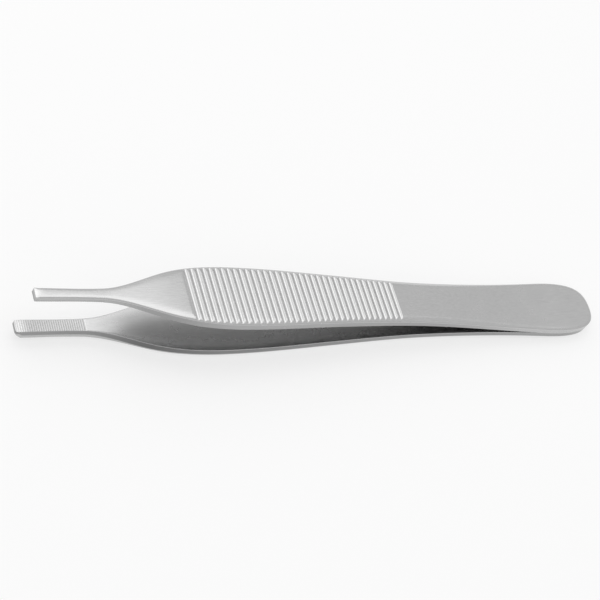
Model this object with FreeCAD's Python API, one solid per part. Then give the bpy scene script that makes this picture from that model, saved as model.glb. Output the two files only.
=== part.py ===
import FreeCAD, Part
import math
import os

# Thumb forceps with broad fluted grips and narrow cross-serrated jaws.
# Two spring arms lie face to face at the heel and stand apart at the jaws.
# The arm is laid out along x from the tip (0) to the end of the heel,
# y runs across the arm and z away from the plane where the two arms meet.
# Every length is in millimetres.

V = FreeCAD.Vector

# Lengths along the arm
length = 120.0
jaw_length = 12.45
seam_start = 107.75

# Half widths seen square on the outer face
upper_jaw_half = 1.13
lower_jaw_half = 1.30
jaw_flare = 0.05
jaw_tip_slope = 0.004
jaw_end_slope = 0.05
grip_half = 6.12
waist_half = 4.48
heel_half = 5.45

# Places of those widths along the arm
shoulder_mid = 23.75
shoulder_half = 4.22
shoulder_slope = 0.31
grip_place = 38.25
belly_place = 60.25
belly_half = 5.15
belly_slope = -0.05
waist_place = 79.25
heel_slope = 0.05
heel_swell = 0.86
heel_fullness = 0.68

# Half of the gap between the arms at the tips: the lower jaw stands nearer the middle
upper_jaw_gap = 4.88
lower_jaw_gap = 4.45
jaw_root = 14.25
jaw_closing = 0.24
jaw_tip_lean = -0.018
jaw_root_lean = -0.015

# The same half gap behind the jaws: place, half gap, slope
gap_places = (
    (28.55, 3.95, -0.050),
    (40.25, 3.48, -0.034),
    (60.25, 2.63, -0.056),
    (80.25, 1.42, -0.059),
    (seam_start, 0.0, -0.012),
)

# Thickness of an arm
upper_jaw_thick = 1.25
lower_jaw_thick = 2.28
grip_thick = 1.90
waist_thick = 1.75
waist_taper = -0.011
heel_thick = 1.42

# Bevel along both outer edges: how far in and how far down
bevel_full_place = 45.25
jaw_bevel_in = 0.26
jaw_bevel_down = 0.26
grip_bevel_in = 0.80
grip_bevel_down = 0.46
waist_bevel_in = 0.95
waist_bevel_down = 0.55
heel_bevel_in = 0.42
heel_bevel_down = 0.26

# Bevel across the outer side of each tip: the lower one is cut back like a prow
upper_tip_along = 0.90
upper_tip_down = 0.38
lower_tip_along = 1.25
lower_tip_down = 1.60

# Rounded corners of the tips, whose arc is a little wider than the corner it fills
upper_tip_corner = 0.35
lower_tip_corner = 1.10
corner_opening = 1.06

# Round-bottomed grip grooves across the outer face
groove_count = 36
groove_pitch = 1.2345
first_groove = 28.89
groove_depth = 0.27
groove_radius = 0.50

# Cross serrations on the inner face of the jaws
tooth_count = 38
tooth_pitch = jaw_length / tooth_count
tooth_depth = 0.16
tooth_seat = 0.02

margin = 2.0
weld_tolerance = 0.001
pick_distance = 0.1

# How many cross sections shape each stretch, and how finely the bow is searched
jaw_sections = 4
shoulder_sections = 12
shank_sections = 14
bow_steps = 200

# The sizes in which the two jaws differ
upper_jaw = {
    "half": upper_jaw_half,
    "thick": upper_jaw_thick,
    "gap": upper_jaw_gap,
    "tip_along": upper_tip_along,
    "tip_down": upper_tip_down,
    "tip_corner": upper_tip_corner,
}
lower_jaw = {
    "half": lower_jaw_half,
    "thick": lower_jaw_thick,
    "gap": lower_jaw_gap,
    "tip_along": lower_tip_along,
    "tip_down": lower_tip_down,
    "tip_corner": lower_tip_corner,
}


def along(places, s):
    # A smooth curve through (place, value, slope), straight beyond both ends.
    if s <= places[0][0]:
        return places[0][1] + places[0][2] * (s - places[0][0])
    for (s0, v0, m0), (s1, v1, m1) in zip(places, places[1:]):
        if s <= s1:
            step = s1 - s0
            t = (s - s0) / step
            start = (2 * t ** 3 - 3 * t ** 2 + 1) * v0
            end = (3 * t ** 2 - 2 * t ** 3) * v1
            lean_in = (t ** 3 - 2 * t ** 2 + t) * step * m0
            lean_out = (t ** 3 - t ** 2) * step * m1
            return start + end + lean_in + lean_out
    last = places[-1]
    return last[1] + last[2] * (s - last[0])


def half_width(s, jaw):
    places = (
        (0.0, jaw["half"] - jaw_flare, jaw_tip_slope),
        (jaw_length, jaw["half"], jaw_end_slope),
        (shoulder_mid, shoulder_half, shoulder_slope),
        (grip_place, grip_half, 0.0),
        (belly_place, belly_half, belly_slope),
        (waist_place, waist_half, 0.0),
        (seam_start, heel_half, heel_slope),
    )
    return along(places, s)


def half_gap(s, jaw):
    if s >= seam_start:
        return 0.0
    places = (
        (0.0, jaw["gap"], jaw_tip_lean),
        (jaw_root, jaw["gap"] - jaw_closing, jaw_root_lean),
    )
    return along(places + gap_places, s)


def thickness(s, jaw):
    places = (
        (0.0, jaw["thick"], 0.0),
        (jaw_length, jaw["thick"], 0.0),
        (first_groove, grip_thick, 0.0),
        (belly_place, grip_thick, 0.0),
        (waist_place, waist_thick, waist_taper),
        (seam_start, heel_thick, 0.0),
    )
    return along(places, s)


def bevel(s):
    across = (
        (0.0, jaw_bevel_in, 0.0),
        (jaw_length, jaw_bevel_in, 0.0),
        (bevel_full_place, grip_bevel_in, 0.0),
        (waist_place, waist_bevel_in, 0.0),
        (seam_start, heel_bevel_in, 0.0),
    )
    down = (
        (0.0, jaw_bevel_down, 0.0),
        (jaw_length, jaw_bevel_down, 0.0),
        (bevel_full_place, grip_bevel_down, 0.0),
        (waist_place, waist_bevel_down, 0.0),
        (seam_start, heel_bevel_down, 0.0),
    )
    return along(across, s), along(down, s)


def outer_level(s, jaw):
    return half_gap(s, jaw) + thickness(s, jaw)


def section(s, jaw):
    # The cross section: flat inner face, upright sides, two outer bevels.
    half = half_width(s, jaw)
    inner = half_gap(s, jaw)
    outer = outer_level(s, jaw)
    bevel_in, bevel_down = bevel(s)
    corners = [
        V(s, -half, inner),
        V(s, half, inner),
        V(s, half, outer - bevel_down),
        V(s, half - bevel_in, outer),
        V(s, bevel_in - half, outer),
        V(s, -half, outer - bevel_down),
    ]
    return Part.makePolygon(corners + [corners[0]])


def spread(start, end, steps):
    return [start + (end - start) * i / steps for i in range(steps)]


def heel_end():
    # The blunt round end, with the same bevel carried around its edge.
    reach = heel_swell * (length - seam_start)
    front = [
        V(seam_start, -heel_half, 0),
        V(seam_start + reach, -heel_half - reach * heel_slope, 0),
        V(length, -heel_fullness * heel_half, 0),
        V(length, 0, 0),
    ]
    back = [V(p.x, -p.y, 0) for p in reversed(front)]
    edges = []
    for poles in (front, back):
        bend = Part.BezierCurve()
        bend.setPoles(poles)
        edges.append(bend.toShape())
    edges.append(Part.makeLine(back[-1], front[0]))
    plate = Part.Face(Part.Wire(edges)).extrude(V(0, 0, heel_thick))
    rim = []
    for edge in plate.Edges:
        box = edge.BoundBox
        if box.ZMin > heel_thick / 2 and box.XMax > length - pick_distance:
            rim.append(edge)
    return plate.makeChamfer(heel_bevel_down, heel_bevel_in, rim)


def grooves(jaw):
    cutters = []
    for i in range(groove_count):
        s = first_groove + i * groove_pitch
        axis_level = outer_level(s, jaw) + groove_radius - groove_depth
        start = V(s, -grip_half - margin, axis_level)
        cutters.append(Part.makeCylinder(groove_radius, 2 * (grip_half + margin), start, V(0, 1, 0)))
    return cutters


def teeth(jaw):
    # One comb of sharp ridges, cut into the inner face of the jaw.
    below = half_gap(0, jaw) - margin
    points = [V(-tooth_pitch, -margin, below)]
    points.append(V(-tooth_pitch, -margin, half_gap(-tooth_pitch, jaw) + tooth_seat))
    for i in range(tooth_count):
        s = i * tooth_pitch
        points.append(V(s, -margin, half_gap(s, jaw) + tooth_seat))
        mid = s + tooth_pitch / 2
        points.append(V(mid, -margin, half_gap(mid, jaw) + tooth_depth))
    points.append(V(jaw_length, -margin, half_gap(jaw_length, jaw) + tooth_seat))
    points.append(V(jaw_length, -margin, below))
    comb = Part.Face(Part.makePolygon(points + [points[0]]))
    return comb.extrude(V(0, 2 * margin, 0))


def tip_bevel(jaw):
    rise = jaw["tip_down"] / jaw["tip_along"]
    end = jaw["tip_along"] + margin
    low = outer_level(0, jaw) - jaw["tip_down"] - margin * rise
    high = outer_level(0, jaw) + margin * rise
    points = [
        V(-margin, -margin, high + margin),
        V(-margin, -margin, low),
        V(end, -margin, high),
        V(end, -margin, high + margin),
    ]
    wedge = Part.Face(Part.makePolygon(points + [points[0]]))
    return wedge.extrude(V(0, 2 * margin, 0))


def tip_corners(jaw):
    # What lies outside the rounded corners of the tip.
    corner = jaw["tip_corner"]
    start = half_width(0, jaw) - corner
    height = outer_level(0, jaw) + margin
    block = Part.makeBox(margin + corner, margin + corner, height, V(-margin, start, 0))
    block = block.cut(Part.makeCylinder(corner * corner_opening, height, V(corner, start, 0)))
    return [block, block.mirror(V(0, 0, 0), V(0, 1, 0))]


def arm(jaw):
    stations = spread(0.0, jaw_length, jaw_sections)
    stations += spread(jaw_length, grip_place, shoulder_sections)
    stations += spread(grip_place, seam_start, shank_sections)
    stations += [seam_start]
    blade = Part.makeLoft([section(s, jaw) for s in stations], True, False)
    blade = blade.fuse([heel_end()], weld_tolerance)
    blade = blade.cut(grooves(jaw) + tip_corners(jaw) + [teeth(jaw), tip_bevel(jaw)])
    return blade.Solids[0]


def rest_slope():
    # The lower arm lies on its heel and on the fullest part of its bow.
    best = 0.0
    for i in range(bow_steps):
        s = first_groove + (waist_place - first_groove) * i / bow_steps
        drop = outer_level(s, lower_jaw) - heel_thick
        best = max(best, drop / (length - heel_bevel_in - s))
    return best


upper = arm(upper_jaw)
lower = arm(lower_jaw).mirror(V(0, 0, 0), V(0, 0, 1))

turn = math.degrees(math.atan(rest_slope()))
for piece in (upper, lower):
    piece.rotate(V(0, 0, 0), V(0, 1, 0), turn)

both = Part.makeCompound([upper, lower]).BoundBox
shift = V(-both.Center.x, -both.Center.y, -both.ZMin)

os.makedirs("parts", exist_ok=True)
for name, piece in (("upper_arm", upper), ("lower_arm", lower)):
    piece.translate(shift)
    piece.exportStep("parts/" + name + ".step")
    print(name, "volume", round(piece.Volume, 1), "valid", piece.isValid())
print("turned by", round(turn, 3), "moved by", round(shift.x, 3), round(shift.z, 3))
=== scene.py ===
# %% [markdown]
# # A pair of thumb forceps
# Two spring arms of stainless steel lie face to face at the heel and open towards
# narrow jaws. A broad fluted grip sits in the middle of each arm. The solids that
# come with the frame fix the form, and this lesson gives the arms softened edges,
# crisp flutes and teeth, and a satin finish. Two details follow the photograph and
# not the solids: the number of teeth, and the shape of the noses at the tips.

# %% Load the frame
import math

import bmesh
import bpy
from mathutils import Matrix, Quaternion, Vector


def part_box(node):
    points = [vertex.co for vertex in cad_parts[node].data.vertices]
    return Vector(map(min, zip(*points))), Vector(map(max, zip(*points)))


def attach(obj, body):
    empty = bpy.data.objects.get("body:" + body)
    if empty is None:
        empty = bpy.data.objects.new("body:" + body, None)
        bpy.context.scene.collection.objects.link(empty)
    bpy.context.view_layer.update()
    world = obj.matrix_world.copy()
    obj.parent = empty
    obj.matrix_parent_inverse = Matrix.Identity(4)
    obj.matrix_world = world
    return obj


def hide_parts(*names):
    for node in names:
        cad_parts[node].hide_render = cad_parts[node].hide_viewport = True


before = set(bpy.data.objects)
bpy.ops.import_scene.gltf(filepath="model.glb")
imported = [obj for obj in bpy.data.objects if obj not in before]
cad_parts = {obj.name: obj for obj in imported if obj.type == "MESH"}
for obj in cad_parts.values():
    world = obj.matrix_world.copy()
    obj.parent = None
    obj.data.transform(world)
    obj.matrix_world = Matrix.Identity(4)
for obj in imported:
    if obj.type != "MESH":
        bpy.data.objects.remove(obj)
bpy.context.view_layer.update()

# %% [markdown]
# ## The rule of the arm
# A maker draws such an arm with a few widths and thicknesses and lets smooth curves
# join them. The same few sizes stand here in millimetres, so the dressed arm keeps
# to the solid one. Each size is a place along the arm, a value there and the slope
# of the curve as it passes, which is all that a cubic needs between two places.

# %% Sizes along the arm, in millimetres
LENGTH = 120.0
JAW_LENGTH = 12.45
JAW_ROOT = 14.25
SHOULDER = 23.75
FIRST_GROOVE = 28.89
GRIP = 38.25
BEVEL_FULL = 45.25
BELLY = 60.25
WAIST = 79.25
SEAM_START = 107.75

JAW_HALF = {"upper_arm": 1.13, "lower_arm": 1.30}
JAW_THICK = {"upper_arm": 1.25, "lower_arm": 2.28}
JAW_GAP = {"upper_arm": 4.88, "lower_arm": 4.45}
JAW_FLARE = 0.05
JAW_TIP_SLOPE = 0.004
JAW_END_SLOPE = 0.05
JAW_CLOSING = 0.24
JAW_TIP_LEAN = -0.018
JAW_ROOT_LEAN = -0.015
JAW_BEVEL = 0.26

SHOULDER_HALF = 4.22
SHOULDER_SLOPE = 0.31
GRIP_HALF = 6.12
GRIP_THICK = 1.90
BELLY_HALF = 5.15
BELLY_SLOPE = -0.05
WAIST_HALF = 4.48
WAIST_THICK = 1.75
WAIST_TAPER = -0.011
HEEL_HALF = 5.45
HEEL_SLOPE = 0.05
HEEL_SWELL = 0.86
HEEL_FULLNESS = 0.68
HEEL_THICK = 1.42

# Half the gap between the arms behind the jaws, then the bevel's width and its depth.
GAP_BEHIND_JAWS = (
    (28.55, 3.95, -0.050),
    (40.25, 3.48, -0.034),
    (BELLY, 2.63, -0.056),
    (80.25, 1.42, -0.059),
    (SEAM_START, 0.0, -0.012),
)
BEVEL_IN = (
    (0.0, JAW_BEVEL, 0.0),
    (JAW_LENGTH, JAW_BEVEL, 0.0),
    (BEVEL_FULL, 0.80, 0.0),
    (WAIST, 0.95, 0.0),
    (SEAM_START, 0.42, 0.0),
)
BEVEL_DOWN = (
    (0.0, JAW_BEVEL, 0.0),
    (JAW_LENGTH, JAW_BEVEL, 0.0),
    (BEVEL_FULL, 0.46, 0.0),
    (WAIST, 0.55, 0.0),
    (SEAM_START, 0.26, 0.0),
)


def along(places, s):
    """A smooth curve through (place, value, slope), straight beyond both ends."""
    if s <= places[0][0]:
        return places[0][1] + places[0][2] * (s - places[0][0])
    for (s0, v0, m0), (s1, v1, m1) in zip(places, places[1:]):
        if s <= s1:
            step = s1 - s0
            t = (s - s0) / step
            start = (2 * t ** 3 - 3 * t ** 2 + 1) * v0
            end = (3 * t ** 2 - 2 * t ** 3) * v1
            lean_in = (t ** 3 - 2 * t ** 2 + t) * step * m0
            lean_out = (t ** 3 - t ** 2) * step * m1
            return start + end + lean_in + lean_out
    last = places[-1]
    return last[1] + last[2] * (s - last[0])


def half_width(s, arm):
    return along((
        (0.0, JAW_HALF[arm] - JAW_FLARE, JAW_TIP_SLOPE),
        (JAW_LENGTH, JAW_HALF[arm], JAW_END_SLOPE),
        (SHOULDER, SHOULDER_HALF, SHOULDER_SLOPE),
        (GRIP, GRIP_HALF, 0.0),
        (BELLY, BELLY_HALF, BELLY_SLOPE),
        (WAIST, WAIST_HALF, 0.0),
        (SEAM_START, HEEL_HALF, HEEL_SLOPE),
    ), s)


def inner_level(s, arm):
    if s >= SEAM_START:
        return 0.0
    jaw = (
        (0.0, JAW_GAP[arm], JAW_TIP_LEAN),
        (JAW_ROOT, JAW_GAP[arm] - JAW_CLOSING, JAW_ROOT_LEAN),
    )
    return along(jaw + GAP_BEHIND_JAWS, s)


def outer_level(s, arm):
    return inner_level(s, arm) + along((
        (0.0, JAW_THICK[arm], 0.0),
        (JAW_LENGTH, JAW_THICK[arm], 0.0),
        (FIRST_GROOVE, GRIP_THICK, 0.0),
        (BELLY, GRIP_THICK, 0.0),
        (WAIST, WAIST_THICK, WAIST_TAPER),
        (SEAM_START, HEEL_THICK, 0.0),
    ), min(s, SEAM_START))


for arm in JAW_GAP:
    tip_levels = [round(level(0.0, arm), 2) for level in (inner_level, outer_level)]
    print(arm, "inner and outer face at the tip:", tip_levels, "mm")
print("widest grip", 2 * half_width(GRIP, "upper_arm"), "mm")

# %% [markdown]
# ## The outline seen from above
# The edge of an arm is followed once, from the rounded corner of the tip to the
# middle of the heel, as points with a direction that leads inwards. Steps are short
# where flutes and teeth will be cut and long where the steel is plain, so the mesh
# spends its faces where the eye needs them. Each nose reaches a little past the place
# where the sizes start, and the lower one a little further than the upper one.

# %% Follow the outline
TIP_CORNER = {"upper_arm": 0.28, "lower_arm": 0.50}
TIP_REACH = {"upper_arm": 0.12, "lower_arm": 0.42}
TOOTH_COUNT = 30
TOOTH_PITCH = JAW_LENGTH / TOOTH_COUNT
TOOTH_STEPS = 6
GROOVE_COUNT = 36
GROOVE_PITCH = 1.2345
GROOVE_STEPS = 20
SHOULDER_STEPS = 44
WAIST_STEPS = 50
HEEL_STEPS = 60
CORNER_STEPS = 24
STEP_ASIDE = 0.01


def spread(start, end, steps):
    return [start + (end - start) * i / steps for i in range(steps)]


def side_stations(first_place):
    fluted_from = FIRST_GROOVE - GROOVE_PITCH / 2
    fluted_to = fluted_from + GROOVE_COUNT * GROOVE_PITCH
    tooth_step = TOOTH_PITCH / TOOTH_STEPS
    first = math.ceil(first_place / tooth_step)
    places = [first_place] + [i * tooth_step for i in range(first, TOOTH_COUNT * TOOTH_STEPS)]
    places += [JAW_LENGTH] + spread(JAW_LENGTH + tooth_step, fluted_from, SHOULDER_STEPS)
    places += spread(fluted_from, fluted_to, GROOVE_COUNT * GROOVE_STEPS)
    places += spread(fluted_to, SEAM_START, WAIST_STEPS)
    return places


def heel_edge(t):
    reach = HEEL_SWELL * (LENGTH - SEAM_START)
    poles = (
        Vector((SEAM_START, HEEL_HALF)),
        Vector((SEAM_START + reach, HEEL_HALF + reach * HEEL_SLOPE)),
        Vector((LENGTH, HEEL_FULLNESS * HEEL_HALF)),
        Vector((LENGTH, 0.0)),
    )
    u = 1 - t
    point = u ** 3 * poles[0] + 3 * u * u * t * poles[1] + 3 * u * t * t * poles[2] + t ** 3 * poles[3]
    pull = (u * u * (poles[1] - poles[0]) + 2 * u * t * (poles[2] - poles[1])
            + t * t * (poles[3] - poles[2]))
    return point, Vector((pull.y, -pull.x)).normalized()


def outline(arm):
    """Points of one long edge, each with the direction that leads inwards."""
    nose = half_width(0.0, arm)
    tip_corner = TIP_CORNER[arm]
    reach = TIP_REACH[arm]
    edge = []
    for i in range(CORNER_STEPS):
        turn = math.radians(90.0 * i / CORNER_STEPS)
        point = Vector((tip_corner * (1 - math.cos(turn)) - reach, nose - tip_corner * (1 - math.sin(turn))))
        edge.append((point, Vector((math.cos(turn), -math.sin(turn)))))
    for s in side_stations(tip_corner - reach):
        slope = (half_width(s + STEP_ASIDE, arm) - half_width(s - STEP_ASIDE, arm)) / (2 * STEP_ASIDE)
        edge.append((Vector((s, half_width(s, arm))), Vector((slope, -1.0)).normalized()))
    for i in range(HEEL_STEPS + 1):
        edge.append(heel_edge(i / HEEL_STEPS))
    return edge


print("stations along an edge:", len(outline("upper_arm")))

# %% [markdown]
# ## From outline to blade
# Around the outline runs a rim: a small round at the inner edge, an upright side,
# and the long outer bevel with its soft corners. Each is a band of quads, and the
# two broad faces are bridged from edge to edge. A modelled edge catches a line of
# light as the tumbled edge of real steel does, which no shader trick gives as well.
#
# The tables say how far each soft corner reaches from the corner itself: at the top of
# the bevel, at the inner edge and at the top of the side wall. On a short bevel a
# corner is held to a share of the slope, so the two ends never cross.

# %% Lay out the rim
SIDE_ROUND = 0.10
SUPPORT = 0.02
BEVEL_STEPS = 7
FOOT_STEPS = 4
SIDE_SHARE = 0.2
CREST_STEPS = 6
SLOPE_SHARE_LOW = 0.3
SLOPE_SHARE_HIGH = 0.6
PLAIN_INNER = 0.05
LOWER_JAW_INNER = 0.14
PLAIN_WALL = 0.10
LOWER_JAW_WALL = 0.80
TOP_ROUND = (
    (0.0, 0.30, 0.0),
    (JAW_LENGTH, 0.40, 0.0),
    (SHOULDER, 1.20, 0.0),
    (GRIP, 0.50, 0.0),
    (BEVEL_FULL, 0.42, 0.0),
    (SEAM_START, 0.30, 0.0),
)
INNER_ROUND = {
    "upper_arm": ((0.0, PLAIN_INNER, 0.0), (SEAM_START, PLAIN_INNER, 0.0)),
    "lower_arm": (
        (0.0, LOWER_JAW_INNER, 0.0),
        (JAW_LENGTH, LOWER_JAW_INNER, 0.0),
        (SHOULDER, 0.06, 0.0),
        (SEAM_START, PLAIN_INNER, 0.0),
    ),
}
WALL_ROUND = {
    "upper_arm": ((0.0, PLAIN_WALL, 0.0), (SEAM_START, PLAIN_WALL, 0.0)),
    "lower_arm": (
        (0.0, LOWER_JAW_WALL, 0.0),
        (JAW_LENGTH, LOWER_JAW_WALL, 0.0),
        (SHOULDER, 0.30, 0.0),
        (SEAM_START, PLAIN_WALL, 0.0),
    ),
}


def corner(before, at, after, steps):
    """A soft corner: a short curve that leaves one straight and joins the next."""
    bend = []
    for i in range(steps + 1):
        t = i / steps
        bend.append((1 - t) ** 2 * before + 2 * t * (1 - t) * at + t * t * after)
    return bend


def rim(bevel_in, bevel_down, top_round, inner_round, wall_round):
    """Inset, height, the face it is measured from and the share of side wall, from inside to outside."""
    run = Vector((bevel_in, bevel_down))
    lean = run.normalized()
    low = min(SIDE_ROUND, SLOPE_SHARE_LOW * run.length)
    high = min(top_round, SLOPE_SHARE_HIGH * run.length)
    foot = corner(Vector((inner_round, 0)), Vector((0, 0)), Vector((0, inner_round)), FOOT_STEPS)
    side_top = Vector((0, -bevel_down))
    side = corner(side_top - Vector((0, wall_round)), side_top, side_top + low * lean, FOOT_STEPS)
    crest_point = Vector((bevel_in, 0))
    crest = corner(crest_point - high * lean, crest_point, crest_point + Vector((top_round, 0)), CREST_STEPS)
    layers = [(p.x, p.y, "inner", (i / FOOT_STEPS) ** 2) for i, p in enumerate(foot)]
    layers.append((0.0, inner_round + SUPPORT, "inner", 1.0))
    layers.append((0.0, side[0].y - SUPPORT, "outer", 1.0))
    layers += [(p.x, p.y, "outer", SIDE_SHARE) for p in side]
    for i in range(1, BEVEL_STEPS):
        p = side[-1].lerp(crest[0], i / BEVEL_STEPS)
        layers.append((p.x, p.y, "outer", 0.0))
    layers += [(p.x, p.y, "outer", 0.0) for p in crest]
    return layers


def rim_curves(arm):
    return BEVEL_IN, BEVEL_DOWN, TOP_ROUND, INNER_ROUND[arm], WALL_ROUND[arm]


grip_rim = rim(*[along(places, GRIP) for places in rim_curves("upper_arm")])
print("bands in the rim:", len(grip_rim) - 1)

# %% [markdown]
# ## The blank
# The blank is the arm before any groove is cut, as it would leave the forge and the
# belt grinder. It is made once, in millimetres, with the arm lying along X and its
# inner face looking down. Belt grinding leaves the jaw's back a little crowned and
# lets the tip fall away in a soft curve; the lower jaw's falls far, like a prow. Each
# vertex remembers how high the inner and outer faces are at its place, because the
# cutting steps below measure from them, and the value that paints shade or a
# highlight into its grey there and also sets how rough it is.

# %% What grinding takes off
END_BEVEL = 0.05
TIP_EASE = 0.9
TIP_FALL = {"upper_arm": 0.12, "lower_arm": 1.50}
TIP_FALL_ALONG = {"upper_arm": 2.40, "lower_arm": 1.45}
TIP_FALL_BEND = {"upper_arm": 3.0, "lower_arm": 1.25}
JAW_CROWN = 0.04
CROWN_MARGIN = 1.5
CROWN_END = FIRST_GROOVE - CROWN_MARGIN
CROWN = ((0.0, JAW_CROWN, 0.0), (JAW_LENGTH, JAW_CROWN, 0.0), (CROWN_END, 0.0, 0.0))


def ground_away(x, y, arm):
    """How much lower the outer face lies at this place: the crown and the fall at the tip."""
    crown = along(CROWN, x) * min(1.0, (y / half_width(x, arm)) ** 2) if x < CROWN_END else 0.0
    from_tip = x + TIP_REACH[arm]
    fall = TIP_FALL[arm] * max(0.0, 1 - from_tip / TIP_FALL_ALONG[arm]) ** TIP_FALL_BEND[arm]
    return crown + fall


def rim_sizes(point, part, arm):
    s = min(point.x, SEAM_START)
    ease = 0.0 if part == "end" else min(1.0, max(0.0, (point.x + TIP_REACH[arm]) / TIP_EASE))
    sizes = []
    for places in rim_curves(arm):
        sizes.append(END_BEVEL + ease * (along(places, s) - END_BEVEL))
    return sizes


for arm in TIP_FALL:
    print(arm, "tip falls by", round(ground_away(-TIP_REACH[arm], 0.0, arm), 2), "mm")

# %% [markdown]
# This value is painted shade where it is above zero, and a painted highlight, brighter
# than the plain satin, where it is below; it also makes the steel rougher or smoother.
# The side walls carry painted shade. The inner face carries painted shade in its middle
# and painted highlights towards its edges and at the very tip. These values were set by
# comparing renders with the photograph, and aren't known from the steel itself.

# %% Painted shade and highlights on the steel
TIP_PAINTED_HIGHLIGHT_TO = 2.4
# Painted shade on the side walls, heavier on the lower arm that lies near the table; the same values also
# roughen the walls.
WALL_SHADE_AND_DULLNESS = {
    "upper_arm": (
        (0.0, 0.22, 0.0),
        (JAW_LENGTH, 0.24, 0.0),
        (SHOULDER, 0.44, 0.0),
        (GRIP, 0.30, 0.0),
        (WAIST, 0.38, 0.0),
        (SEAM_START, 0.12, 0.0),
    ),
    "lower_arm": (
        (0.0, 0.46, 0.0),
        (JAW_LENGTH, 0.50, 0.0),
        (SHOULDER, 0.72, 0.0),
        (GRIP, 0.60, 0.0),
        (WAIST, 0.46, 0.0),
        (SEAM_START, 0.40, 0.0),
    ),
}
# Painted highlight at the very tip of the inner face and painted shade in its middle, under the other arm;
# the same values also set its roughness.
INNER_PAINTED_LIGHT_AND_DULLNESS = (
    (0.0, -0.35, 0.0),
    (TIP_PAINTED_HIGHLIGHT_TO, 0.02, 0.0),
    (JAW_LENGTH, -0.04, 0.0),
    (SHOULDER, 0.33, 0.0),
    (GRIP, 0.30, 0.0),
)
# Painted highlight towards the long edges of the inner face.
EDGE_PAINTED_HIGHLIGHT = (
    (JAW_LENGTH, 0.0, 0.0),
    (SHOULDER, 0.55, 0.0),
    (GRIP, 0.75, 0.0),
)
EDGE_PAINTED_HIGHLIGHT_BEND = 3.0


# The painted shade and dullness of a side wall at this place.
def wall_shade_and_dullness(x, arm):
    return along(WALL_SHADE_AND_DULLNESS[arm], min(x, SEAM_START))


# Painted shade in the middle of the inner face, painted highlights at its tip and towards its edges.
def inner_painted_light_and_dullness(x, y, arm):
    if x < JAW_LENGTH:
        return along(INNER_PAINTED_LIGHT_AND_DULLNESS, x)
    painted_highlight = along(EDGE_PAINTED_HIGHLIGHT, min(x, GRIP)) * abs(y / half_width(x, arm)) ** EDGE_PAINTED_HIGHLIGHT_BEND
    return along(INNER_PAINTED_LIGHT_AND_DULLNESS, min(x, GRIP)) - painted_highlight


# Printed: the painted shade in the middle of the inner face at the grip.
print("dullness in the middle of the grip:", round(inner_painted_light_and_dullness(GRIP, 0.0, "lower_arm"), 2))

# %% [markdown]
# The outline becomes a closed loop: out along one edge, back along the other, and
# across the tip. One ring of points stands at every place of the loop, neighbouring
# rings are joined by quads, and rows of quads bridge the two broad faces.

# %% Build a blank arm
ACROSS = 10
MERGE_DISTANCE = 0.0005
SHARES_ACROSS = [i / ACROSS for i in range(1, ACROSS)]


def loop_around(edge, arm):
    nose = edge[0][0].y
    loop = [(Vector((p.x, -p.y)), Vector((n.x, -n.y)), "side") for p, n in edge]
    loop += [(p, n, "side") for p, n in reversed(edge)]
    for t in SHARES_ACROSS:
        loop.append((Vector((-TIP_REACH[arm], nose * (1 - 2 * t))), Vector((1.0, 0.0)), "end"))
    return loop


def rim_points(loop, arm):
    """The points of the rim, ring after ring, and the painted shade or highlight each one carries."""
    verts = []
    shades_and_dullness = []
    for point, inward, part in loop:
        for inset, height, measured_from, upright in rim(*rim_sizes(point, part, arm)):
            place = point + inset * inward
            if measured_from == "inner":
                level = inner_level(place.x, arm)
                face = inner_painted_light_and_dullness(place.x, place.y, arm)
            else:
                level = outer_level(place.x, arm) - ground_away(place.x, place.y, arm)
                face = 0.0
            verts.append((place.x, place.y, level + height))
            # Walls get painted shade; the inner face gets painted shade in its middle and painted highlights
            # at its edges and tip.
            shades_and_dullness.append(upright * wall_shade_and_dullness(place.x, arm) + (1 - upright) * face)
    return verts, shades_and_dullness


def rim_faces(rings, layers):
    faces = []
    for i in range(rings):
        j = (i + 1) % rings
        for k in range(layers - 1):
            faces.append((i * layers + k, j * layers + k, j * layers + k + 1, i * layers + k + 1))
    return faces


def broad_face(arm, verts, shades_and_dullness, count, layers, outer):
    """Bridge one broad face; its new points are added to verts, and their painted shade and highlight values
    to the second list.
    """
    layer = layers - 1 if outer else 0
    back = 2 * count - 1
    tip = [layer] + [(2 * count + ACROSS - 2 - i) * layers + layer for i in range(ACROSS - 1)]
    rows = [tip + [back * layers + layer]]
    for r in range(1, count):
        near = verts[r * layers + layer]
        far = verts[(back - r) * layers + layer]
        row = [r * layers + layer]
        for t in SHARES_ACROSS:
            x = near[0]
            y = near[1] + (far[1] - near[1]) * t
            if outer:
                verts.append((x, y, outer_level(x, arm) - ground_away(x, y, arm)))
                shades_and_dullness.append(0.0)
            else:
                verts.append((x, y, inner_level(x, arm)))
                shades_and_dullness.append(inner_painted_light_and_dullness(x, y, arm))
            row.append(len(verts) - 1)
        row.append((back - r) * layers + layer)
        rows.append(row)
    faces = []
    for low, high in zip(rows, rows[1:]):
        for i in range(ACROSS):
            faces.append((low[i], low[i + 1], high[i + 1], high[i]))
    return faces


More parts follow.
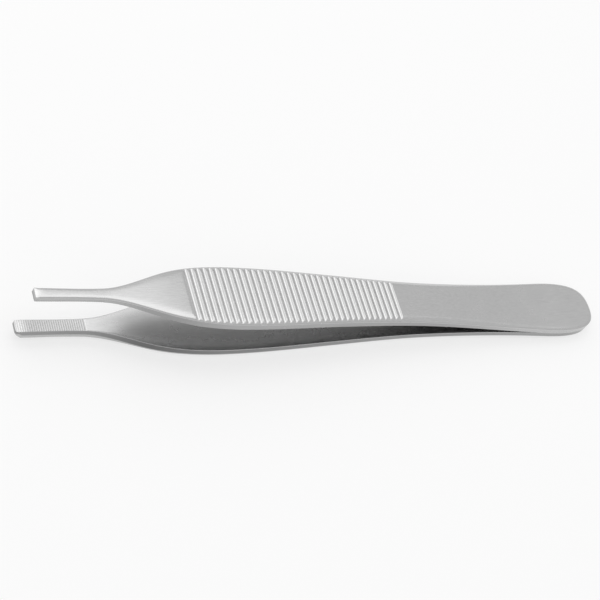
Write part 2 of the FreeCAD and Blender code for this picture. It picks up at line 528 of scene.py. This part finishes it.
def blank_arm(arm):
    edge = outline(arm)
    loop = loop_around(edge, arm)
    verts, shades_and_dullness = rim_points(loop, arm)
    layers = len(verts) // len(loop)
    faces = rim_faces(len(loop), layers)
    for outer in (False, True):
        faces += broad_face(arm, verts, shades_and_dullness, len(edge), layers, outer)

    mesh = bpy.data.meshes.new(arm + "_blank")
    mesh.from_pydata(verts, [], faces)
    mesh.attributes.new("painted_light_and_dullness", "FLOAT", "POINT").data.foreach_set("value", shades_and_dullness)
    tidy = bmesh.new()
    tidy.from_mesh(mesh)
    bmesh.ops.remove_doubles(tidy, verts=tidy.verts, dist=MERGE_DISTANCE)
    bmesh.ops.recalc_face_normals(tidy, faces=tidy.faces)
    tidy.to_mesh(mesh)
    tidy.free()
    for name, level in (("inner_level", inner_level), ("outer_level", outer_level)):
        store = mesh.attributes.new(name, "FLOAT", "POINT")
        store.data.foreach_set("value", [level(v.co.x, arm) for v in mesh.vertices])
    blank = bpy.data.objects.new(arm + "_blank", mesh)
    bpy.context.scene.collection.objects.link(blank)
    return blank


blanks = {arm: blank_arm(arm) for arm in ("upper_arm", "lower_arm")}
for arm, blank in blanks.items():
    print(arm, "blank:", len(blank.data.polygons), "faces")

# %% [markdown]
# ## A material for each arm
# First an empty material for each arm. The satin finish is mixed in its own step
# further down; the cutting steps only have to hand the material on.

# %% Start the finishes
finishes = {}
for arm in blanks:
    finishes[arm] = bpy.data.materials.new("satin_steel_" + arm)
    finishes[arm].use_nodes = True

# %% [markdown]
# ## Flutes and teeth by rule
# Thirty-six round-bottomed flutes and thirty fine teeth follow one rule each, so
# Geometry Nodes are the right tool: a vertex looks up the nearest cutter and is
# pressed down onto it. Pitch, depth and count stay open as named inputs, and
# changing one recuts every groove at once. A small helper keeps the trees readable.

# %% Helpers for node trees


def new_tree(name, inputs):
    tree = bpy.data.node_groups.new(name, "GeometryNodeTree")
    face = tree.interface
    face.new_socket("Geometry", in_out="INPUT", socket_type="NodeSocketGeometry")
    for label, kind, value in inputs:
        socket = face.new_socket(label, in_out="INPUT", socket_type=kind)
        if value is not None:
            socket.default_value = value
    face.new_socket("Geometry", in_out="OUTPUT", socket_type="NodeSocketGeometry")
    return tree, tree.nodes.new("NodeGroupInput"), tree.nodes.new("NodeGroupOutput")


def math_node(tree, operation, *values):
    node = tree.nodes.new("ShaderNodeMath")
    node.operation = operation
    for socket, value in zip(node.inputs, values):
        if isinstance(value, (int, float)):
            socket.default_value = value
        else:
            tree.links.new(value, socket)
    return node.outputs[0]


def stored(tree, name):
    node = tree.nodes.new("GeometryNodeInputNamedAttribute")
    node.data_type = "FLOAT"
    node.inputs["Name"].default_value = name
    return node.outputs["Attribute"]


def split_position(tree):
    position = tree.nodes.new("GeometryNodeInputPosition")
    apart = tree.nodes.new("ShaderNodeSeparateXYZ")
    tree.links.new(position.outputs[0], apart.inputs[0])
    return apart.outputs


def move_to_height(tree, geometry, apart, height):
    together = tree.nodes.new("ShaderNodeCombineXYZ")
    tree.links.new(apart["X"], together.inputs["X"])
    tree.links.new(apart["Y"], together.inputs["Y"])
    tree.links.new(height, together.inputs["Z"])
    place = tree.nodes.new("GeometryNodeSetPosition")
    tree.links.new(geometry, place.inputs["Geometry"])
    tree.links.new(together.outputs[0], place.inputs["Position"])
    return place.outputs["Geometry"]


def remember(tree, geometry, name, value):
    store = tree.nodes.new("GeometryNodeStoreNamedAttribute")
    store.data_type = "FLOAT"
    store.domain = "POINT"
    store.inputs["Name"].default_value = name
    tree.links.new(geometry, store.inputs["Geometry"])
    tree.links.new(value, store.inputs["Value"])
    return store.outputs["Geometry"]


def close_tree(tree, geometry, finish, end):
    real = tree.nodes.new("GeometryNodeRealizeInstances")
    paint = tree.nodes.new("GeometryNodeSetMaterial")
    tree.links.new(geometry, real.inputs["Geometry"])
    tree.links.new(real.outputs["Geometry"], paint.inputs["Geometry"])
    tree.links.new(finish, paint.inputs["Material"])
    tree.links.new(paint.outputs["Geometry"], end.inputs["Geometry"])


# %% [markdown]
# A flute is what a round cutter leaves when it crosses the arm at a fixed depth. The
# floor of the nearest cut is worked out under every vertex, and the lower of the
# floor and the face wins. The bevel lies below the cutter's reach, so each flute
# runs out there in a rounded end without anything being told to stop.

# %% The flute tree
GROOVE_DEPTH = 0.27
GROOVE_RADIUS = 0.50
GROOVE_SOFTNESS = 0.05


def flute_tree():
    tree, start, end = new_tree("Grip flutes", (
        ("First", "NodeSocketFloat", FIRST_GROOVE),
        ("Pitch", "NodeSocketFloat", GROOVE_PITCH),
        ("Count", "NodeSocketInt", GROOVE_COUNT),
        ("Radius", "NodeSocketFloat", GROOVE_RADIUS),
        ("Depth", "NodeSocketFloat", GROOVE_DEPTH),
        ("Softness", "NodeSocketFloat", GROOVE_SOFTNESS),
        ("Finish", "NodeSocketMaterial", None),
    ))
    apart = split_position(tree)
    given = start.outputs
    steps = math_node(tree, "DIVIDE", math_node(tree, "SUBTRACT", apart["X"], given["First"]), given["Pitch"])
    nearest = math_node(tree, "MAXIMUM", math_node(tree, "ROUND", steps), 0.0)
    nearest = math_node(tree, "MINIMUM", nearest, math_node(tree, "SUBTRACT", given["Count"], 1.0))
    centre = math_node(tree, "MULTIPLY_ADD", nearest, given["Pitch"], given["First"])
    off = math_node(tree, "SUBTRACT", apart["X"], centre)
    under_root = math_node(tree, "SUBTRACT", math_node(tree, "MULTIPLY", given["Radius"], given["Radius"]),
                           math_node(tree, "MULTIPLY", off, off))
    arc = math_node(tree, "SQRT", math_node(tree, "MAXIMUM", under_root, 0.0))
    rise = math_node(tree, "SUBTRACT", given["Radius"], arc)
    lowest = math_node(tree, "SUBTRACT", stored(tree, "outer_level"), given["Depth"])
    floor = math_node(tree, "ADD", lowest, rise)
    height = math_node(tree, "SMOOTH_MIN", apart["Z"], floor, given["Softness"])
    shaped = move_to_height(tree, given["Geometry"], apart, height)
    close_tree(tree, shaped, given["Finish"], end)
    return tree


flutes = flute_tree()
print("flute tree:", len(flutes.nodes), "nodes")

# %% [markdown]
# A tooth is a sharp ridge between two filed notches. The notches are a folded ramp
# along the jaw, and here the higher of the ramp and the inner face wins. They stop
# where the jaw widens into the shoulder. The solids carry more teeth, and finer ones,
# than the photograph shows, so their number here follows the photograph.

# %% The tooth tree
TOOTH_DEPTH = 0.16


def tooth_tree():
    tree, start, end = new_tree("Jaw teeth", (
        ("Jaw Length", "NodeSocketFloat", JAW_LENGTH),
        ("Count", "NodeSocketInt", TOOTH_COUNT),
        ("Depth", "NodeSocketFloat", TOOTH_DEPTH),
        ("Finish", "NodeSocketMaterial", None),
    ))
    apart = split_position(tree)
    given = start.outputs
    share = math_node(tree, "DIVIDE", apart["X"], given["Jaw Length"])
    phase = math_node(tree, "FRACT", math_node(tree, "MULTIPLY", share, given["Count"]))
    fold = math_node(tree, "ABSOLUTE", math_node(tree, "MULTIPLY_ADD", phase, 2.0, -1.0))
    notch = math_node(tree, "SUBTRACT", 1.0, fold)
    ramp = math_node(tree, "MULTIPLY", notch, given["Depth"])
    on_jaw = math_node(tree, "LESS_THAN", apart["X"], given["Jaw Length"])
    roof = math_node(tree, "ADD", stored(tree, "inner_level"), math_node(tree, "MULTIPLY", ramp, on_jaw))
    height = math_node(tree, "MAXIMUM", apart["Z"], roof)
    cut = math_node(tree, "DIVIDE", math_node(tree, "SUBTRACT", height, apart["Z"]), given["Depth"])
    noted = remember(tree, given["Geometry"], "tooth", cut)
    shaped = move_to_height(tree, noted, apart, height)
    close_tree(tree, shaped, given["Finish"], end)
    return tree


teeth = tooth_tree()
print("tooth tree:", len(teeth.nodes), "nodes")

# %% [markdown]
# ## Cutting, turning over and laying down
# Each blank gets both trees, and the evaluated result is taken out as one plain
# mesh. The lower arm is turned over. Then both are tipped by the small angle at
# which the forceps rest on the heel and the bow of the lower arm, and moved until
# the heel and the lowest point are where the solid arm has them.

# %% Cut the arms
MILLIMETRE = 0.001
BOW_STEPS = 200


def cut_arm(arm):
    blank = blanks[arm]
    for tree in (flutes, teeth):
        modifier = blank.modifiers.new(tree.name, "NODES")
        modifier.node_group = tree
        for item in tree.interface.items_tree:
            if item.name == "Finish":
                modifier[item.identifier] = finishes[arm]
    seen = blank.evaluated_get(bpy.context.evaluated_depsgraph_get())
    mesh = bpy.data.meshes.new_from_object(seen)
    blank.modifiers.clear()
    bpy.data.objects.remove(blank)
    return mesh


def rest_angle():
    heel_edge_place = LENGTH - BEVEL_IN[-1][1]
    best = 0.0
    for s in spread(FIRST_GROOVE, WAIST, BOW_STEPS):
        drop = outer_level(s, "lower_arm") - HEEL_THICK
        best = max(best, drop / (heel_edge_place - s))
    return math.atan(best)


def lay_down(mesh, arm):
    tip_up = Matrix.Rotation(rest_angle(), 4, "Y")
    if arm == "lower_arm":
        mesh.transform(Matrix.Diagonal((1, 1, -1, 1)))
        mesh.flip_normals()
    mesh.transform(Matrix.Scale(MILLIMETRE, 4) @ tip_up)


meshes = {}
for arm in ("upper_arm", "lower_arm"):
    meshes[arm] = cut_arm(arm)
    lay_down(meshes[arm], arm)
heel_reach = max(v.co.x for v in meshes["lower_arm"].vertices)
lowest = min(v.co.z for v in meshes["lower_arm"].vertices)
solid_low, solid_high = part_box("lower_arm")
shift = Vector((solid_high[0] - heel_reach, 0.0, solid_low[2] - lowest))
arms = {}
for arm, mesh in meshes.items():
    mesh.transform(Matrix.Translation(shift))
    mesh.shade_smooth()
    arms[arm] = bpy.data.objects.new(arm + "_steel", mesh)
    bpy.context.scene.collection.objects.link(arms[arm])
    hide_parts(arm)
    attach(arms[arm], "root")

# %% [markdown]
# ## The finish
# Surgical steel is not mirror bright: it is brushed to a satin so that it doesn't
# dazzle under the lamp. The reflection is broad, and very fine scratches run along
# the arm. The value that every vertex carries paints shade into the grey, or a
# highlight where it is below zero, and also roughens the shine. The floor of each
# tooth notch is darkened once more with painted shade.

# %% Mix the satin steel
STEEL_GREY = 0.60
GRAIN_SCALE = (300.0, 9000.0, 9000.0)
GRAIN_DETAIL = 4.0
GRAIN_CONTRAST = 0.05
GRAIN_BUMP = 0.06
GRAIN_HEIGHT = 0.00002
CLOUD_SCALE = 260.0
CLOUD_DETAIL = 3.0
NOISE_LOW = 0.3
NOISE_HIGH = 0.7
# Painted shade in the floor of each tooth notch, deepest at the bottom of the cut.
NOTCH_SHADE = 0.26
ROUGHNESS = 0.25
ROUGHNESS_SPREAD = 0.03
DULL_ROUGHNESS = 0.12


def paint_steel(material):
    tree = material.node_tree
    nodes = tree.nodes
    links = tree.links
    shader = nodes["Principled BSDF"]
    shader.inputs["Metallic"].default_value = 1.0

    def noise(scale, detail, vector):
        node = nodes.new("ShaderNodeTexNoise")
        node.inputs["Scale"].default_value = scale
        node.inputs["Detail"].default_value = detail
        links.new(vector, node.inputs["Vector"])
        return node.outputs["Fac"]

    def spread_over(value, low, high):
        node = nodes.new("ShaderNodeMapRange")
        node.inputs["From Min"].default_value = NOISE_LOW
        node.inputs["From Max"].default_value = NOISE_HIGH
        node.inputs["To Min"].default_value = low
        node.inputs["To Max"].default_value = high
        links.new(value, node.inputs["Value"])
        return node.outputs["Result"]

    def noted(name):
        node = nodes.new("ShaderNodeAttribute")
        node.attribute_name = name
        return node.outputs["Fac"]

    coords = nodes.new("ShaderNodeTexCoord").outputs["Object"]
    stretch = nodes.new("ShaderNodeMapping")
    stretch.inputs["Scale"].default_value = GRAIN_SCALE
    links.new(coords, stretch.inputs["Vector"])
    grain = noise(1.0, GRAIN_DETAIL, stretch.outputs["Vector"])
    cloud = noise(CLOUD_SCALE, CLOUD_DETAIL, coords)

    # Painted shade where the value is above zero, painted highlight where it is below.
    bright_left = math_node(tree, "SUBTRACT", 1.0, noted("painted_light_and_dullness"))
    # Painted shade in the tooth notches, by how deep the cut goes.
    notch_left = math_node(tree, "MULTIPLY_ADD", noted("tooth"), -NOTCH_SHADE, 1.0)
    steel = spread_over(grain, (1 - GRAIN_CONTRAST) * STEEL_GREY, (1 + GRAIN_CONTRAST) * STEEL_GREY)
    tone = math_node(tree, "MULTIPLY", math_node(tree, "MULTIPLY", steel, bright_left), notch_left)
    grey = nodes.new("ShaderNodeCombineColor")
    for channel in ("Red", "Green", "Blue"):
        links.new(tone, grey.inputs[channel])
    links.new(grey.outputs["Color"], shader.inputs["Base Color"])

    satin = spread_over(cloud, ROUGHNESS - ROUGHNESS_SPREAD, ROUGHNESS + ROUGHNESS_SPREAD)
    satin = math_node(tree, "MULTIPLY_ADD", noted("painted_light_and_dullness"), DULL_ROUGHNESS, satin)
    links.new(satin, shader.inputs["Roughness"])

    bump = nodes.new("ShaderNodeBump")
    bump.inputs["Strength"].default_value = GRAIN_BUMP
    bump.inputs["Distance"].default_value = GRAIN_HEIGHT
    links.new(grain, bump.inputs["Height"])
    links.new(bump.outputs["Normal"], shader.inputs["Normal"])


for arm in arms:
    paint_steel(finishes[arm])
    print("finish", finishes[arm].name)

# %% [markdown]
# ## The table, the light and the camera
# The forceps lie on a plain pale table. One large softbox overhead and a smaller one
# behind them are mirrored in the steel, which shades it from bright jaws to a darker
# heel, and an even sky fills the rest. Part of the table's white is its own light
# towards the camera and the steel, so the shadow stays as pale as on a light table.

# %% Floor
FLOOR_SIZE = 3.0
FLOOR_GREY = 0.93
FLOOR_ROUGHNESS = 0.9
FLOOR_GLOW = 0.62
floor_mesh = bpy.data.meshes.new("floor")
half = FLOOR_SIZE / 2
corners = [(-half, -half, 0), (half, -half, 0), (half, half, 0), (-half, half, 0)]
floor_mesh.from_pydata(corners, [], [(0, 1, 2, 3)])
floor = bpy.data.objects.new("floor", floor_mesh)
bpy.context.scene.collection.objects.link(floor)
floor_paint = bpy.data.materials.new("pale_floor")
floor_paint.use_nodes = True
floor_tree = floor_paint.node_tree
matt = floor_tree.nodes["Principled BSDF"]
matt.inputs["Base Color"].default_value = (FLOOR_GREY, FLOOR_GREY, FLOOR_GREY, 1)
matt.inputs["Roughness"].default_value = FLOOR_ROUGHNESS
glow = floor_tree.nodes.new("ShaderNodeEmission")
path = floor_tree.nodes.new("ShaderNodeLightPath")
seen = math_node(floor_tree, "MAXIMUM", path.outputs["Is Camera Ray"], path.outputs["Is Glossy Ray"])
seen = math_node(floor_tree, "MAXIMUM", seen, path.outputs["Is Transmission Ray"])
share = math_node(floor_tree, "MULTIPLY", seen, FLOOR_GLOW)
blend = floor_tree.nodes.new("ShaderNodeMixShader")
floor_tree.links.new(share, blend.inputs[0])
floor_tree.links.new(matt.outputs["BSDF"], blend.inputs[1])
floor_tree.links.new(glow.outputs["Emission"], blend.inputs[2])
floor_tree.links.new(blend.outputs["Shader"], floor_tree.nodes["Material Output"].inputs["Surface"])
floor_mesh.materials.append(floor_paint)
print("table", FLOOR_SIZE, "m wide")

# %% [markdown]
# A metal shows what it mirrors, so each softbox is given by its direction, its size and
# how bright its face looks, and the power of the lamp follows from these.

# %% Light
SKY = 0.70
world = bpy.data.worlds.new("soft_sky")
bpy.context.scene.world = world
world.use_nodes = True
world.node_tree.nodes["Background"].inputs["Color"].default_value = (SKY, SKY, SKY, 1)
world.node_tree.nodes["Background"].inputs["Strength"].default_value = 1.0


def soft_lamp(name, azimuth, elevation, distance, radius, brightness):
    """A round soft lamp that faces the forceps, given as the brightness of its face."""
    lamp = bpy.data.lights.new(name, "AREA")
    lamp.shape = "DISK"
    lamp.size = 2 * radius
    lamp.energy = brightness * math.pi * math.pi * radius * radius
    away = Vector((
        math.cos(math.radians(elevation)) * math.cos(math.radians(azimuth)),
        math.cos(math.radians(elevation)) * math.sin(math.radians(azimuth)),
        math.sin(math.radians(elevation)),
    ))
    holder = bpy.data.objects.new(name, lamp)
    holder.location = distance * away
    holder.rotation_euler = away.to_track_quat("Z", "Y").to_euler()
    bpy.context.scene.collection.objects.link(holder)
    print(name, "energy", round(lamp.energy, 2), "W")


soft_lamp("overhead_softbox", azimuth=40.0, elevation=80.0, distance=0.80, radius=0.48, brightness=0.74)
soft_lamp("back_softbox", azimuth=114.0, elevation=42.0, distance=0.50, radius=0.32, brightness=0.45)

# %% [markdown]
# The camera looks down on the forceps from the side of the jaws with a long lens, and
# is rolled until the arms lie level in the picture.

# %% Camera
CAMERA_PLACE = Vector((-0.15017, -0.14619, 0.24619))
CAMERA_AIM = Vector((-0.00577, 0.00235, 0.00486))
CAMERA_ROLL = -34.58
CAMERA_LENS = 103.34
SENSOR_WIDTH = 36.0
camera_data = bpy.data.cameras.new("camera")
camera_data.lens = CAMERA_LENS
camera_data.sensor_width = SENSOR_WIDTH
camera = bpy.data.objects.new("camera", camera_data)
look = (CAMERA_AIM - CAMERA_PLACE).normalized()
camera.location = CAMERA_PLACE
upright = look.to_track_quat("-Z", "Y")
camera.rotation_mode = "QUATERNION"
camera.rotation_quaternion = Quaternion(look, math.radians(CAMERA_ROLL)) @ upright
bpy.context.scene.collection.objects.link(camera)
bpy.context.scene.camera = camera
bpy.context.scene.view_settings.view_transform = "Standard"
print("camera", round((CAMERA_AIM - CAMERA_PLACE).length, 3), "m from its aim")
